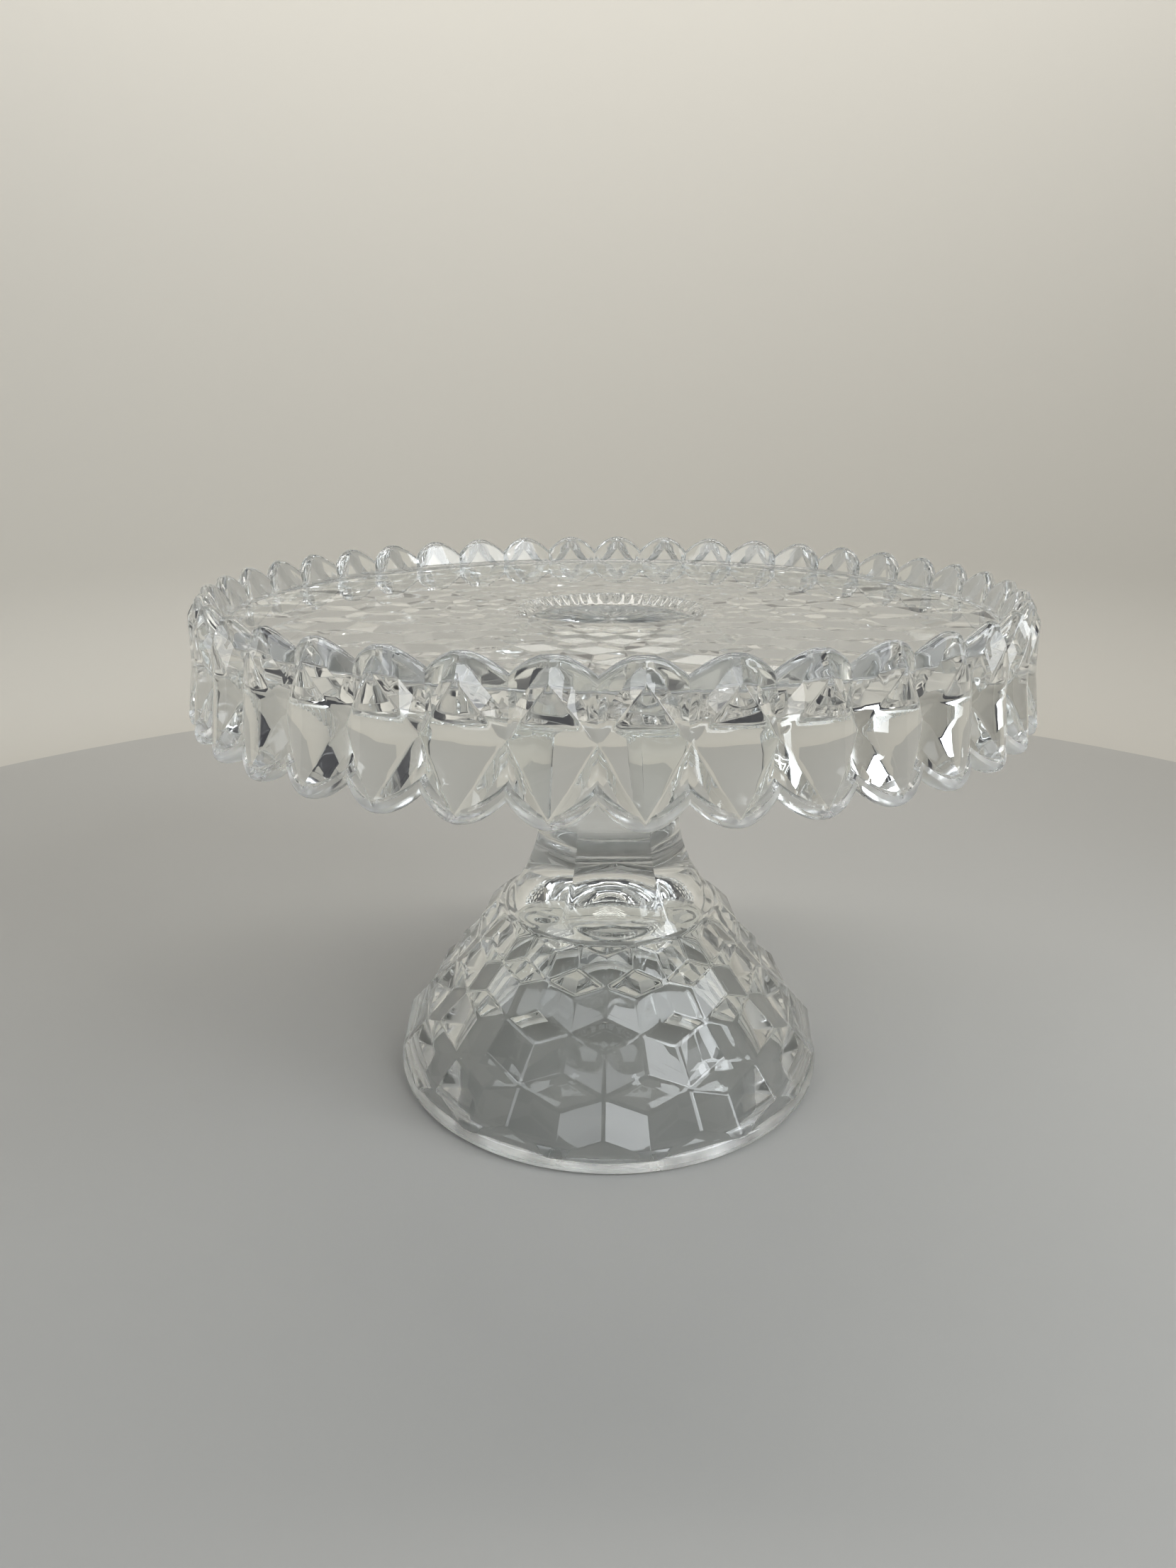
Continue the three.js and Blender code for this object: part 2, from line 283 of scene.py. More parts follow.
def boolean(obj, other, operation):
    """Joins or cuts obj with other, which is used up."""
    cutter = obj.modifiers.new("boolean", "BOOLEAN")
    cutter.operation = operation
    cutter.solver = "EXACT"
    cutter.object = other
    apply_modifiers(obj)
    bpy.data.objects.remove(other)
    return obj


def apply_modifiers(obj):
    graph = bpy.context.evaluated_depsgraph_get()
    mesh = bpy.data.meshes.new_from_object(obj.evaluated_get(graph))
    obj.modifiers.clear()
    obj.data = mesh


# Stacked cubes are drawn on half steps. A step's corner is a cube's side corner, its front corner or
# its back corner in turn. Odd columns hold the even steps, and even columns hold the odd ones.
SIDE, FRONT, BACK = 0, 1, 2


def cube_facets(columns, last_step):
    """Each facet's corners as (column, step), for steps 0 to last_step."""
    facets = []
    for column in range(columns):
        left, right = (column - 1) % columns, (column + 1) % columns
        for step in range(-1, last_step + 1):
            if (step + column) % 2 == 0:
                continue
            if step % 3 == BACK:
                top = [(column, step)] if step >= 0 else []
                facets.append(top + [(left, step + 1), (column, step + 2), (right, step + 1)])
            if step % 3 == FRONT:
                facets.append([(left, step - 1), (left, step + 1), (column, step + 2), (column, step)])
                facets.append([(column, step), (column, step + 2), (right, step + 1), (right, step - 1)])
    return [f for f in facets if max(step for _, step in f) <= last_step]


def add_cubes(bm, columns, last_step, point, facing_down):
    """Adds the facets to bm. Returns their corners by (column, step)."""
    corners = {}
    for facet in cube_facets(columns, last_step):
        for key in facet:
            if key not in corners:
                corners[key] = bm.verts.new(point(*key))
        order = reversed(facet) if facing_down else facet
        bm.faces.new([corners[key] for key in order])
    return corners


def round_edges(bm, edges, width):
    bmesh.ops.bevel(bm, geom=edges, offset=width * MM, offset_type="OFFSET", segments=3, profile=0.5,
                    affect="EDGES", clamp_overlap=True)


def finish_normals(obj):
    """Smooth shading that keeps flat facets flat and real corners sharp."""
    bm = bmesh.new()
    bm.from_mesh(obj.data)
    bmesh.ops.remove_doubles(bm, verts=bm.verts, dist=2 * MERGE_DISTANCE)
    bmesh.ops.dissolve_degenerate(bm, edges=bm.edges, dist=MERGE_DISTANCE)
    for face in bm.faces:
        face.smooth = True
    for edge in bm.edges:
        if len(edge.link_faces) == 2:
            edge.smooth = edge.calc_face_angle(0.0) < math.radians(SHARP_DEGREES)
    bm.to_mesh(obj.data)
    bm.free()
    weighted = obj.modifiers.new("normals", "WEIGHTED_NORMAL")
    weighted.keep_sharp = True
    weighted.weight = 100
    apply_modifiers(obj)


def on_seam(centre):
    """Whether a face lies on the flat disc where the two pieces are fused."""
    return abs(centre.z - JOINT_HEIGHT * MM) < MERGE_DISTANCE


def on_lip_bead(centre):
    angle = math.atan2(centre.x, -centre.y) - SCALLOP_PHASE
    share = (angle * SCALLOPS / (2 * math.pi)) % 1
    bead = LIP_HEIGHT + LIP_DIP * scallop_dip(1 - abs(2 * share - 1)) + BEAD_HEIGHT
    return centre.z < bead * MM


def on_foot_rest(centre):
    return centre.z < FOOT_WEAR_HEIGHT * MM


def give_looks(obj, glass, seam, worn, is_worn):
    """Polished glass all over, with the seam and the worn faces on materials of their own."""
    obj.data.materials.clear()
    for material in (glass, seam, worn):
        obj.data.materials.append(material)
    for polygon in obj.data.polygons:
        polygon.material_index = 1 if on_seam(polygon.center) else 2 if is_worn(polygon.center) else 0


# Foot.
def cone_radius(height):
    bulge = 1 - ((height - CONE_BULGE_HEIGHT) / CONE_BULGE_REACH) ** 2
    return CONE_RADIUS - CONE_SLOPE * height + CONE_BULGE * max(0, bulge)


def foot_cube_corner(column, step):
    fallen = FOOT_CUBE_STEP * (FOOT_CUBE_GROWTH ** step - 1) / (FOOT_CUBE_GROWTH - 1)
    height = max(FOOT_CUBE_TOP + CORNER_LIFTS[step % 3] - fallen, FOOT_CUBE_LOWEST)
    angle = FOOT_CUBE_PHASE + math.pi * column / FOOT_CUBES
    radius = min(cone_radius(height) * CORNER_SHARES[step % 3], FOOT_RADIUS - FOOT_CUBE_INSET)
    return polar(radius, angle, height)


def ring_edges(bm, ring):
    """The edges that run round a closed ring of vertices."""
    return {bm.edges.get(pair) for pair in zip(ring, ring[1:] + ring[:1])}


def shrunk(vertex, share, height):
    """A place at a share of the vertex's distance from the Z axis, at a height in metres."""
    return Vector((vertex.co.x * share, vertex.co.y * share, height))


def foot_cubes():
    """The cone of stacked cubes, closed by a small ledge above and inside the foot ring below."""
    columns = 2 * FOOT_CUBES
    bm = bmesh.new()
    corners = add_cubes(bm, columns, FOOT_CUBE_LAST_STEP, foot_cube_corner, False)
    top = [corners[(c, 0)] for c in range(1, columns, 2)]
    bottom = [corners[(c, FOOT_CUBE_LAST_STEP - c % 2)] for c in range(columns)]
    boundary = ring_edges(bm, bottom)
    rounded = [e for e in bm.edges if e not in boundary]
    ledge = [bm.verts.new(shrunk(v, LEDGE_SHARE, v.co.z + LEDGE_RISE * MM)) for v in top]
    inside = [bm.verts.new(shrunk(v, CONE_FLOOR_SHARE, CONE_FLOOR_HEIGHT * MM)) for v in bottom]
    join_rings(bm, top, ledge)
    bm.faces.new(ledge)
    join_rings(bm, inside, bottom)
    bm.faces.new(reversed(inside))
    round_edges(bm, rounded, FOOT_CUBE_ROUNDING)
    return mesh_object("foot_cubes", bm)


def stem():
    columns = STEM_FLUTES * FLUTE_COLUMNS
    side = smooth_outline(STEM_OUTLINE + [(JOINT_RADIUS, JOINT_HEIGHT)], STEM_RINGS)
    scoop_end = side[0][1] + SCOOP_START + SCOOP_HEIGHT

    def point(ring, column):
        radius, height = side[ring]
        across = 2 * (column % FLUTE_COLUMNS) / FLUTE_COLUMNS - 1
        scoop = max(0, (scoop_end - height) / SCOOP_HEIGHT)
        fade = min(1, max(0, (JOINT_HEIGHT - FLUTE_FADE_END - height) / FLUTE_FADE_LENGTH))
        depth = STEM_FLUTE_DEPTH * fade * max(0, 1 - across ** 2 - scoop ** 2)
        return radius - depth, STEM_FLUTE_PHASE + 2 * math.pi * column / columns, height

    return revolved("stem", columns, len(side), point)


def foot_ring():
    inner = HOLLOW_MOUTH_RADIUS - FOOT_RING_OVERLAP
    centre = (FOOT_RADIUS - FOOT_RING_ROUNDING, FOOT_RING_WAIST)
    outline = [(inner, 0)]
    outline += arc(centre, (FOOT_RING_ROUNDING, FOOT_RING_WAIST), -90, 0, ROUNDING_STEPS)
    outline += arc(centre, (FOOT_RING_ROUNDING, FOOT_RING_TOP - FOOT_RING_WAIST), 0, 90, ROUNDING_STEPS)[1:]
    outline += [(inner, FOOT_RING_TOP)]
    return lathe("foot_ring", outline, FOOT_COLUMNS, closed=True)


def hollow():
    """The cutter for the inside of the foot. It starts below the mouth, which it rounds."""
    mouth = HOLLOW_MOUTH_RADIUS
    across, up = HOLLOW_MOUTH_ROUNDING
    outline = [(CUTTER_CORE, -CUTTER_DROP), (mouth + HOLLOW_MOUTH_FLARE, -CUTTER_DROP), (mouth, 0.0)]
    outline += arc((mouth, up), (across, up), 270, 180, FILLET_STEPS)[1:-1]
    outline += smooth_outline(HOLLOW_OUTLINE, HOLLOW_RINGS)
    return lathe("hollow", outline, FOOT_COLUMNS)


def make_pedestal():
    pedestal = foot_cubes()
    pedestal.name = "pedestal_glass"
    boolean(pedestal, stem(), "UNION")
    boolean(pedestal, foot_ring(), "UNION")
    boolean(pedestal, hollow(), "DIFFERENCE")
    finish_normals(pedestal)
    return pedestal


# Plate.
def plate_cube_corner(column, step):
    """A corner past the disc's edge is brought in to it, towards the corner two steps before."""
    radius = PLATE_CUBE_START_RADIUS * PLATE_CUBE_GROWTH ** (step - 1)
    height = {SIDE: 0, FRONT: -1, BACK: 1}[step % 3] * PLATE_CUBE_RELIEF * radius
    if radius > DISC_EDGE_RADIUS:
        inner = radius / PLATE_CUBE_GROWTH ** 2
        share = (DISC_EDGE_RADIUS - inner) / (radius - inner)
        height = -height / PLATE_CUBE_GROWTH ** 2 * (1 - share) + height * share
        radius = DISC_EDGE_RADIUS
    angle = PLATE_CUBE_PHASE + math.pi * column / PLATE_CUBES
    return polar(radius, angle, UNDERSIDE + height)


def plate_top_outline():
    """From the edge of the disc in to the middle of the well."""
    floor = PLATE_TOP - WELL_DEPTH
    outline = [(DISC_EDGE_RADIUS, PLATE_TOP - DISC_EDGE_DROP), (DISC_EDGE_RADIUS, PLATE_TOP)]
    outline += [(DISC_MIDDLE_RADIUS, PLATE_TOP), (WELL_RADIUS + WELL_MARGIN, PLATE_TOP)]
    outline += arc((WELL_RADIUS + WELL_LIP_ROUNDING, PLATE_TOP - WELL_LIP_ROUNDING),
                   (WELL_LIP_ROUNDING, WELL_LIP_ROUNDING), 90, 180, WELL_LIP_STEPS)
    outline += [(WELL_FLOOR_RADIUS + out, floor + up) for out, up in WELL_SIDE]
    outline += [(WELL_FLOOR_RADIUS * (1 - i / WELL_FLOOR_RINGS), floor) for i in range(WELL_FLOOR_RINGS)]
    return outline


def plate_top_point(outline):
    """The plate's top as rings, with the star in the well's floor and the teeth in its side."""
    rim = PLATE_TOP - WELL_RIM_DEPTH
    floor = PLATE_TOP - WELL_DEPTH

    def point(ring, column):
        radius, height = outline[ring]
        angle = 2 * math.pi * column / WELL_COLUMNS
        if radius <= WELL_FLOOR_RADIUS:
            fade = math.sin(math.pi * min(1, radius / WELL_FLOOR_RADIUS)) ** 0.5 if radius else 0
            height -= STAR_DEPTH * fade * abs(math.cos(STAR_RAYS * angle / 2))
        elif height < rim:
            share = (height - floor) / (rim - floor)
            radius -= WELL_TOOTH_DEPTH * share * (1 - abs(math.cos(WELL_TEETH * angle / 2)))
        return radius, angle, height

    return point


def disc():
    """The plate's disc: cubes below, the flat top and the well above, and a hidden edge."""
    columns = 2 * PLATE_CUBES
    last = PLATE_CUBE_LAST_STEP
    bm = bmesh.new()
    corners = add_cubes(bm, columns, last, plate_cube_corner, True)
    # Known fault: the cubes end along step 0's corners and not along this ring, so the disc isn't closed
    # here, and the plate has open edges round the collar.
    inner = [corners[(c, 1 - c % 2)] for c in range(columns)]
    outer = [corners[(c, last - 1 + c % 2)] for c in range(columns)]
    boundary = ring_edges(bm, inner) | ring_edges(bm, outer)
    rounded = [e for e in bm.edges if e not in boundary]
    core = [bm.verts.new(polar(DISC_CORE_RADIUS, PLATE_CUBE_PHASE + math.pi * c / PLATE_CUBES, UNDERSIDE))
            for c in range(columns)]
    join_rings(bm, core, inner)
    bm.faces.new(reversed(core))
    round_edges(bm, rounded, PLATE_CUBE_ROUNDING)
    lower_edge = [e for e in bm.edges if e.is_boundary]
    outline = plate_top_outline()
    rings = add_rings(bm, WELL_COLUMNS, len(outline), plate_top_point(outline))
    for outside, inside in zip(rings, rings[1:]):
        join_rings(bm, outside, inside)
    bm.faces.new(rings[-1])
    upper_edge = [bm.edges.get(pair) for pair in zip(rings[0], rings[0][1:] + rings[0][:1])]
    bmesh.ops.bridge_loops(bm, edges=lower_edge + upper_edge)
    bmesh.ops.recalc_face_normals(bm, faces=bm.faces)
    return mesh_object("disc", bm)


def collar():
    """The short collar under the well that the stem is stuck to."""
    across, up = COLLAR_FLARE
    out, into = COLLAR_TOP
    outline = [(JOINT_RADIUS, JOINT_HEIGHT)]
    outline += arc((JOINT_RADIUS + across, JOINT_HEIGHT + COLLAR_FLARE_START), (across, up), 180, 90,
                   ROUNDING_STEPS)
    outline += [(JOINT_RADIUS + out, UNDERSIDE + into), (JOINT_RADIUS, UNDERSIDE + into)]
    return lathe("collar", outline, FOOT_COLUMNS)


def band_radius(height):
    down = max(0, (WAIST_HEIGHT - height) / (WAIST_HEIGHT - LIP_HEIGHT))
    return BAND_RADIUS + SKIRT_FLARE * down


def scallop_dip(across):
    """How far a scallop's outline has fallen away, as a share, across a scallop."""
    return 1 - math.cos(math.pi * across / 2) ** DIP_POWER if across < 1 else 1


def band_levels(across):
    """Heights in the band's section. across runs from 0, a scallop's middle, to 1, the valley beside it."""
    crest = CREST_HEIGHT - CREST_DIP * scallop_dip(across)
    lip = LIP_HEIGHT + LIP_DIP * scallop_dip(across)
    low_edge = WAIST_HEIGHT - DIAMOND_DROP * (1 - across)
    high_edge = WAIST_HEIGHT + DIAMOND_RISE * (1 - across)
    pocket = min(lip + BEAD_HEIGHT + POCKET_LIFT, low_edge - POCKET_STEP)
    low_floor = max(low_edge - BEVEL_HEIGHT, pocket)
    pocket = min(pocket, low_floor - LEAST_STEP)
    bead = min(lip + BEAD_HEIGHT, pocket - BEAD_STEP)
    crest_start = crest - CREST_ROUNDING
    high_floor = min(high_edge + BEVEL_HEIGHT, crest_start - CREST_STEP)
    return SimpleNamespace(lip=lip, bead=bead, pocket=pocket, low_floor=low_floor, low_edge=low_edge,
                           high_edge=high_edge, high_floor=high_floor, crest_start=crest_start)


def half_ring(inner, outer, height, rounding, start, end):
    """A rounded end of the band's wall, between its inner and its outer radius."""
    middle, reach = (outer + inner) / 2, (outer - inner) / 2
    return arc((middle, height), (reach, rounding), start, end, ROUNDING_STEPS)


def skirt_face(at, lobe, crease):
    """The outer face from the lip up to the lower edge of the diamond: lip, bead, recess and bevel."""
    depth = RECESS_DEPTH * (at.low_edge - at.low_floor) / BEVEL_HEIGHT
    drop = at.low_floor - at.low_edge
    below = min(1, -DIAMOND_ROUNDING / drop)
    floor_crease = crease * RECESS_CREASE_START
    lip_out = band_radius(at.lip) + lobe - BEAD_DEPTH
    lip_in = SKIRT_INNER_RADIUS + SKIRT_DRAFT
    points = half_ring(lip_in, lip_out, at.lip + LIP_ROUNDING, LIP_ROUNDING, 180, 360)
    points.append((band_radius(at.bead) + lobe - BEAD_DEPTH, at.bead))
    points.append((band_radius(at.pocket) + lobe - depth - crease, at.pocket))
    points.append((band_radius(at.low_floor) + lobe - depth - floor_crease, at.low_floor))
    points.append((band_radius(at.low_edge) + lobe - depth * below, at.low_edge + drop * below))
    return points


def diamond_face(at, lobe, across):
    """The diamond's slightly crowned face."""
    inset = min(DIAMOND_ROUNDING, (at.high_edge - at.low_edge) / DIAMOND_ROWS)
    low, high = at.low_edge + inset, at.high_edge - inset
    points = []
    for i in range(DIAMOND_ROWS + 1):
        up = i / DIAMOND_ROWS
        height = low + (high - low) * up
        crown = DIAMOND_CROWN * (1 - across) * (1 - (2 * up - 1) ** 2)
        points.append((band_radius(height) + lobe + crown, height))
    return points


def gallery_face(at, lobe, crease, across):
    """Above the diamond: bevel and recess, then over the crest and down inside to the plate's top."""
    depth = RECESS_DEPTH * (at.high_floor - at.high_edge) / BEVEL_HEIGHT
    rise = at.high_floor - at.high_edge
    above = min(1, DIAMOND_ROUNDING / rise)
    floor_crease = crease * RECESS_CREASE_START
    out = BAND_RADIUS + lobe - depth - crease - UPPER_RECESS_LEAN * (1 - across)
    points = [(BAND_RADIUS + lobe - depth * above, at.high_edge + rise * above)]
    points.append((BAND_RADIUS + lobe - depth - floor_crease, at.high_floor))
    points.append((out, at.crest_start))
    fillet_top = PLATE_TOP + FILLET
    share = (at.crest_start - fillet_top) / (CREST_HEIGHT - fillet_top)
    inner = GALLERY_RADIUS + GALLERY_DRAFT * share
    points += half_ring(inner, out, at.crest_start, CREST_ROUNDING, 0, 180)[1:]
    hollow_arc = arc((GALLERY_RADIUS - FILLET, fillet_top), (FILLET, FILLET), 0, 90, FILLET_STEPS)
    points += [(radius, 2 * fillet_top - height) for radius, height in hollow_arc]
    return points


def band_root():
    """From the plate's top, through the disc, to the inside of the skirt."""
    corner = GALLERY_RADIUS - FILLET
    fillet_top = UNDERSIDE + SKIRT_FILLET_LIFT
    points = [(corner - BAND_ROOT_ABOVE[0], PLATE_TOP + BAND_ROOT_ABOVE[1])]
    points.append((corner - BAND_ROOT_BELOW[0], fillet_top + BAND_ROOT_BELOW[1]))
    points += arc((SKIRT_INNER_RADIUS - SKIRT_FILLET, fillet_top - SKIRT_FILLET),
                  (SKIRT_FILLET, SKIRT_FILLET), 90, 0, SKIRT_FILLET_STEPS)
    return points


def band_outline(across):
    """The band's whole section, as (radius, height), from the inside of the lip round and back to it."""
    at = band_levels(across)
    lobe = LOBE_CROWN * (1 - across ** 2)
    crease = RECESS_CREASE * across ** RECESS_CREASE_POWER
    return (skirt_face(at, lobe, crease) + diamond_face(at, lobe, across)
            + gallery_face(at, lobe, crease, across) + band_root())


def band():
    columns = SCALLOPS * SCALLOP_COLUMNS
    sections = []
    for column in range(SCALLOP_COLUMNS):
        share = column / SCALLOP_COLUMNS
        sections.append(band_outline(1 - abs(2 * share - 1)))

    def point(ring, column):
        radius, height = sections[column % SCALLOP_COLUMNS][ring]
        return radius, SCALLOP_PHASE + 2 * math.pi * column / columns, height

    return revolved("band", columns, len(sections[0]), point, closed=True)


def make_plate():
    plate = band()
    plate.name = "plate_glass"
    boolean(plate, disc(), "UNION")
    boolean(plate, collar(), "UNION")
    finish_normals(plate)
    return plate


# Looks. Roughness is given as its least and most. The press waves' distance is in metres.
GLASS_IOR = 1.52
GLASS_TINTS = ((0.955, 0.98, 0.975, 1), (0.985, 0.992, 0.988, 1))
TINT_SCALE = 9
TINT_DETAIL = 2
PRESS_WAVE_SCALE = 60
PRESS_WAVE_DETAIL = 2
PRESS_WAVE_STRENGTH = 0.12
PRESS_WAVE_DISTANCE = 0.0006
SMEAR_SCALE = 45
SMEAR_DETAIL = 6
SMEAR_RANGE = (0.35, 0.7)
SCRATCH_TURN = 0.6
SCRATCH_STRETCH = (60, 2600, 60)
SCRATCH_DETAIL = 1
SCRATCH_RARITY = (0.66, 0.72)
SCRATCH_ROUGHNESS = 0.12
POLISHED = (0.0, 0.02)
FROSTED = (0.22, 0.42)
RUBBED = (0.25, 0.45)
PAINT_ROUGHNESS = 0.85


def new_shader(name):
    """A new material with its node tree and shader."""
    material = bpy.data.materials.new(name)
    material.use_nodes = True
    tree = material.node_tree
    return material, tree, tree.nodes["Principled BSDF"]


def add_noise(tree, place, scale, detail):
    """A noise value from 0 to 1, at a place in the piece."""
    noise = tree.nodes.new("ShaderNodeTexNoise")
    noise.inputs["Scale"].default_value = scale
    noise.inputs["Detail"].default_value = detail
    tree.links.new(place, noise.inputs["Vector"])
    return noise.outputs["Fac"]


def add_range(tree, value, source, target):
    """Maps a value from one range to another and stops at its ends."""
    node = tree.nodes.new("ShaderNodeMapRange")
    for name, number in zip(("From Min", "From Max", "To Min", "To Max"), (*source, *target)):
        node.inputs[name].default_value = number
    tree.links.new(value, node.inputs["Value"])
    return node.outputs["Result"]


def add_scratches(tree, place):
    """Sparse fine streaks across the piece, as a value from 0 to 1."""
    turned = tree.nodes.new("ShaderNodeMapping")
    turned.inputs["Rotation"].default_value = (0, 0, SCRATCH_TURN)
    turned.inputs["Scale"].default_value = SCRATCH_STRETCH
    tree.links.new(place, turned.inputs["Vector"])
    streaks = add_noise(tree, turned.outputs["Vector"], 1.0, SCRATCH_DETAIL)
    return add_range(tree, streaks, SCRATCH_RARITY, (0, 1))


def add_tint(tree, place, shader):
    """Slow changes of the glass's faint colour."""
    tint = tree.nodes.new("ShaderNodeValToRGB")
    for element, colour in zip(tint.color_ramp.elements, GLASS_TINTS):
        element.color = colour
    tree.links.new(add_noise(tree, place, TINT_SCALE, TINT_DETAIL), tint.inputs["Fac"])
    tree.links.new(tint.outputs["Color"], shader.inputs["Base Color"])


def add_wear(tree, place, shader, roughness):
    """Smears between the least and the most roughness, with scratches on top."""
    smears = add_noise(tree, place, SMEAR_SCALE, SMEAR_DETAIL)
    scratches = add_scratches(tree, place)
    total = tree.nodes.new("ShaderNodeMath")
    total.operation = "ADD"
    tree.links.new(add_range(tree, smears, SMEAR_RANGE, roughness), total.inputs[0])
    tree.links.new(add_range(tree, scratches, (0, 1), (0, SCRATCH_ROUGHNESS)), total.inputs[1])
    tree.links.new(total.outputs["Value"], shader.inputs["Roughness"])


def add_press_waves(tree, place, shader):
    """The soft waves that a mould leaves in the surface."""
    bump = tree.nodes.new("ShaderNodeBump")
    bump.inputs["Strength"].default_value = PRESS_WAVE_STRENGTH
    bump.inputs["Distance"].default_value = PRESS_WAVE_DISTANCE
    waves = add_noise(tree, place, PRESS_WAVE_SCALE, PRESS_WAVE_DETAIL)
    tree.links.new(waves, bump.inputs["Height"])
    tree.links.new(bump.outputs["Normal"], shader.inputs["Normal"])


def glass_material(name, roughness):
    """Clear pressed glass. roughness gives its least and most, apart from the scratches."""
    material, tree, shader = new_shader(name)
    shader.inputs["Transmission Weight"].default_value = 1.0
    shader.inputs["IOR"].default_value = GLASS_IOR
    place = tree.nodes.new("ShaderNodeTexCoord").outputs["Object"]
    add_tint(tree, place, shader)
    add_wear(tree, place, shader, roughness)
    add_press_waves(tree, place, shader)
    return material


def seam_material():
    """Nothing to see: light goes straight through the faces where the two pieces are fused."""
    material, _, shader = new_shader("fused_seam")
    shader.inputs["Alpha"].default_value = 0.0
    shader.inputs["IOR"].default_value = 1.0
    return material


def paint_material(name, colour):
    material, _, shader = new_shader(name)
    shader.inputs["Base Color"].default_value = (*colour, 1)
    shader.inputs["Roughness"].default_value = PAINT_ROUGHNESS
    return material


# Camera. A negative yaw looks to the left and the pitch looks down, both in radians. The lens is a
# share of the sensor's width.
CAMERA_PLACE = Vector((0.0, -353.1, 219.6)) * MM
CAMERA_YAW = -0.021
CAMERA_PITCH = 0.322
LENS_SHARE = 0.925

# Room. The floor lies just under the foot, and faces below FLOOR_LIMIT belong to it.
FLOOR_HEIGHT = -0.2
ROOM_RADIUS = 620
ROOM_COVE = 110
ROOM_COVE_STEPS = 12
ROOM_COLUMNS = 96
ROOM_OPENING = math.radians(160)
ROOM_HEIGHT = 570
FLOOR_LIMIT = 1
FLOOR_COLOUR = (0.48, 0.475, 0.455)
WALL_COLOUR = (0.62, 0.60, 0.55)
DARK = (0.06, 0.06, 0.065)

# Lights, as name, place, target, size (across, up), power in watts and colour. Lengths are in metres.
GLASS_MIDDLE = (0.0, 0.0, 0.10)
WALL_MIDDLE = (0.0, 0.62, 0.34)
COOL_WHITE = (0.93, 0.97, 1.0)
WARM_WHITE = (1.0, 0.97, 0.92)
LIGHTS = (
    ("right_box", (0.66, -0.50, 0.66), GLASS_MIDDLE, (0.70, 0.34), 4.2, COOL_WHITE),
    ("window", (0.82, -0.27, 0.40), GLASS_MIDDLE, (0.18, 0.46), 1.6, COOL_WHITE),
    ("left_box", (-0.66, -0.50, 0.62), GLASS_MIDDLE, (0.60, 0.30), 1.5, COOL_WHITE),
    ("front_box", (0.0, -0.55, 0.90), GLASS_MIDDLE, (0.80, 0.16), 0.9, COOL_WHITE),
    ("wall_box", (0.0, 0.15, 0.85), WALL_MIDDLE, (0.90, 0.20), 4.2, WARM_WHITE),
)

# Light crosses many glass surfaces before it leaves the stand.
GLASS_BOUNCES = 40
GLOSSY_BOUNCES = 16


def make_camera():
    data = bpy.data.cameras.new("camera")
    data.sensor_fit = "HORIZONTAL"
    data.lens = data.sensor_width * LENS_SHARE
    camera = bpy.data.objects.new("camera", data)
    forward = Vector((math.sin(CAMERA_YAW) * math.cos(CAMERA_PITCH),
                      math.cos(CAMERA_YAW) * math.cos(CAMERA_PITCH), -math.sin(CAMERA_PITCH)))
    camera.rotation_euler = forward.to_track_quat("-Z", "Y").to_euler()
    camera.location = CAMERA_PLACE
    bpy.context.scene.collection.objects.link(camera)
    bpy.context.scene.camera = camera


def on_floor(face):
    return face.calc_center_median().z < FLOOR_LIMIT * MM


def in_room_opening(face):
    centre = face.calc_center_median()
    return not on_floor(face) and abs(math.atan2(centre.x, -centre.y)) < ROOM_OPENING / 2


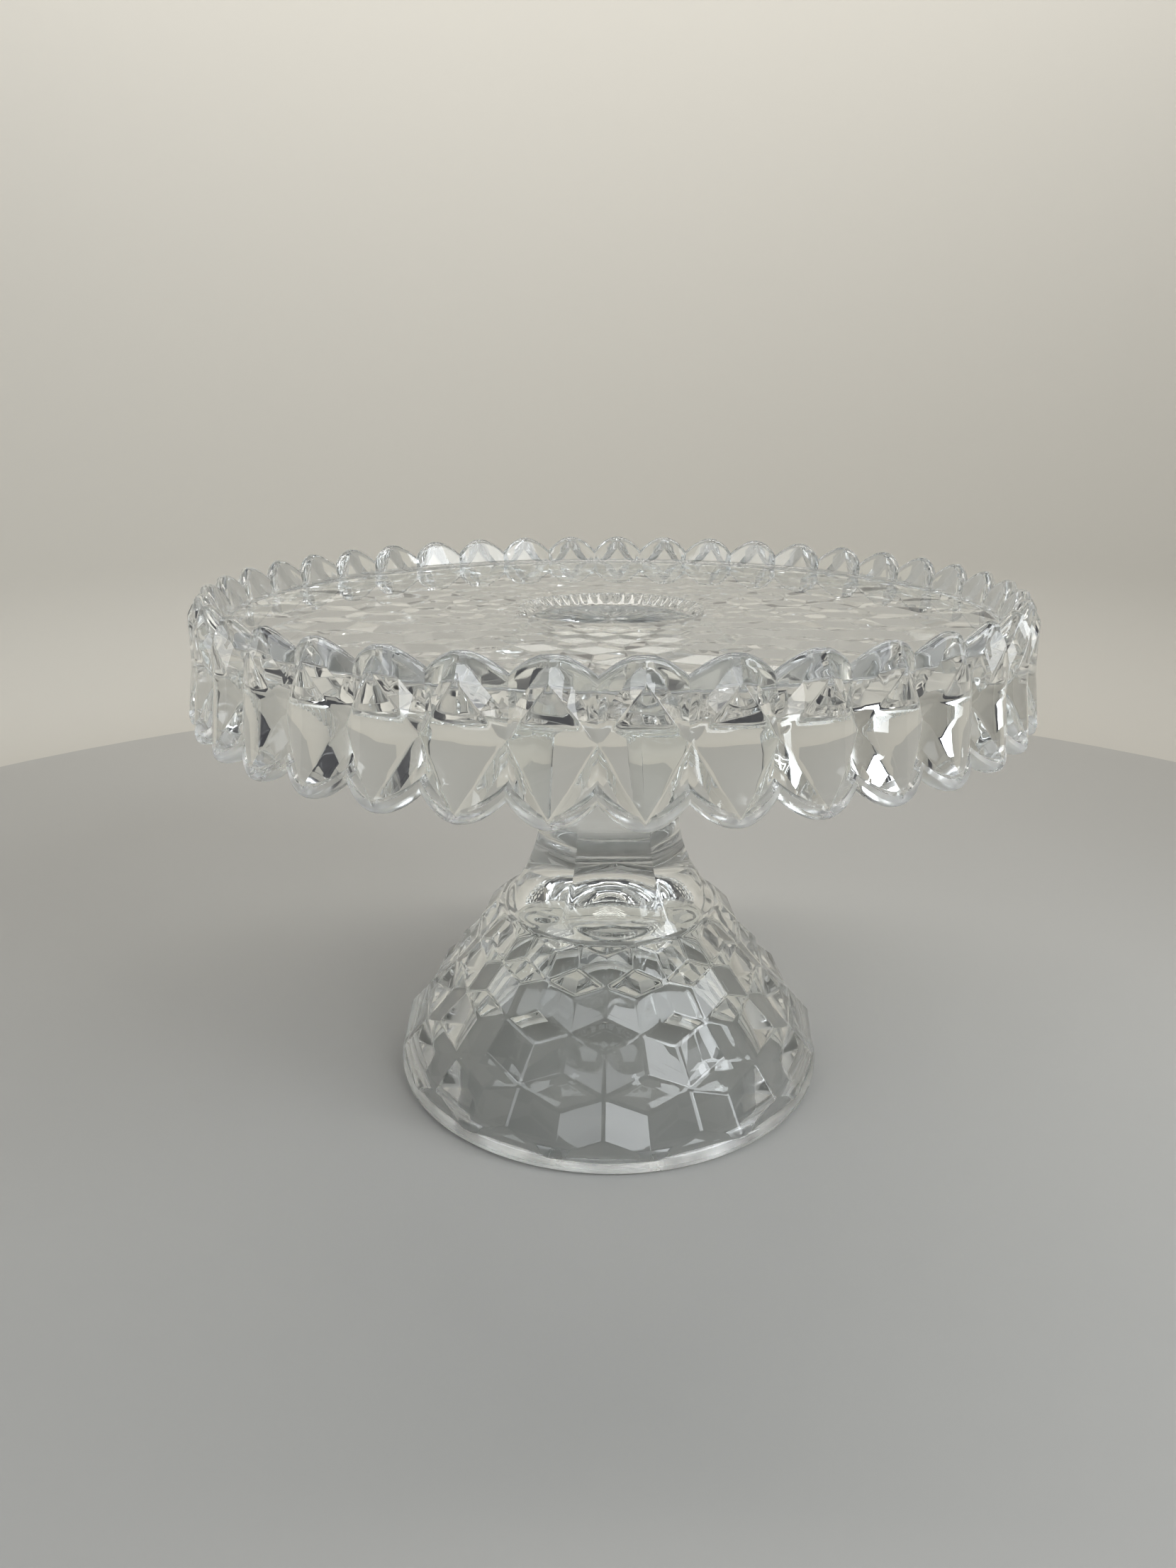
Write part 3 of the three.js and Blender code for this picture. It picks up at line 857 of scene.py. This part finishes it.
def make_room():
    """A round floor that curves up into a wall behind the stand. The room is open and dark in front."""
    flat = ROOM_RADIUS - ROOM_COVE
    outline = [(0.0, FLOOR_HEIGHT), (flat, FLOOR_HEIGHT)]
    outline += arc((flat, FLOOR_HEIGHT + ROOM_COVE), (ROOM_COVE, ROOM_COVE), -90, 0, ROOM_COVE_STEPS)[1:]
    outline += [(ROOM_RADIUS, ROOM_HEIGHT)]

    def point(ring, column):
        radius, height = outline[ring]
        return radius, 2 * math.pi * column / ROOM_COLUMNS, height

    bm = bmesh.new()
    rings = add_rings(bm, ROOM_COLUMNS, len(outline), point)
    for lower, upper in zip(rings, rings[1:]):
        join_rings(bm, lower, upper)
    bmesh.ops.remove_doubles(bm, verts=bm.verts, dist=MERGE_DISTANCE)
    opening = [face for face in bm.faces if in_room_opening(face)]
    bmesh.ops.delete(bm, geom=opening, context="FACES")
    bmesh.ops.reverse_faces(bm, faces=bm.faces)
    for face in bm.faces:
        face.smooth = True
        face.material_index = 0 if on_floor(face) else 1
    room = mesh_object("room", bm)
    room.data.materials.append(paint_material("floor_paint", FLOOR_COLOUR))
    room.data.materials.append(paint_material("wall_paint", WALL_COLOUR))


def area_light(name, place, target, size, power, colour):
    data = bpy.data.lights.new(name, "AREA")
    data.shape = "RECTANGLE"
    data.size, data.size_y = size
    data.energy = power
    data.color = colour
    light = bpy.data.objects.new(name, data)
    light.location = place
    light.rotation_euler = (Vector(target) - Vector(place)).to_track_quat("-Z", "Y").to_euler()
    bpy.context.scene.collection.objects.link(light)


def make_world():
    world = bpy.data.worlds.new("world")
    world.use_nodes = True
    world.node_tree.nodes["Background"].inputs["Color"].default_value = (*DARK, 1)
    bpy.context.scene.world = world
    bpy.context.scene.view_settings.view_transform = "Standard"


def make_studio():
    """Soft boxes above and in front, which the upper faces of the glass mirror, and one on the wall."""
    make_world()
    make_room()
    for light in LIGHTS:
        area_light(*light)


def allow_deep_paths():
    cycles = bpy.context.scene.cycles
    cycles.max_bounces = GLASS_BOUNCES
    cycles.transmission_bounces = GLASS_BOUNCES
    cycles.glossy_bounces = GLOSSY_BOUNCES
    cycles.transparent_max_bounces = GLASS_BOUNCES


allow_deep_paths()
make_camera()
make_studio()
pedestal = make_pedestal()
plate = make_plate()
seam = seam_material()
give_looks(plate, glass_material("plate_glass", POLISHED), seam,
           glass_material("plate_lip_glass", FROSTED), on_lip_bead)
give_looks(pedestal, glass_material("pedestal_glass", POLISHED), seam,
           glass_material("pedestal_rubbed_glass", RUBBED), on_foot_rest)
for piece, node in ((plate, "plate"), (pedestal, "pedestal")):
    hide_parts(node)
    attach(piece, "root")
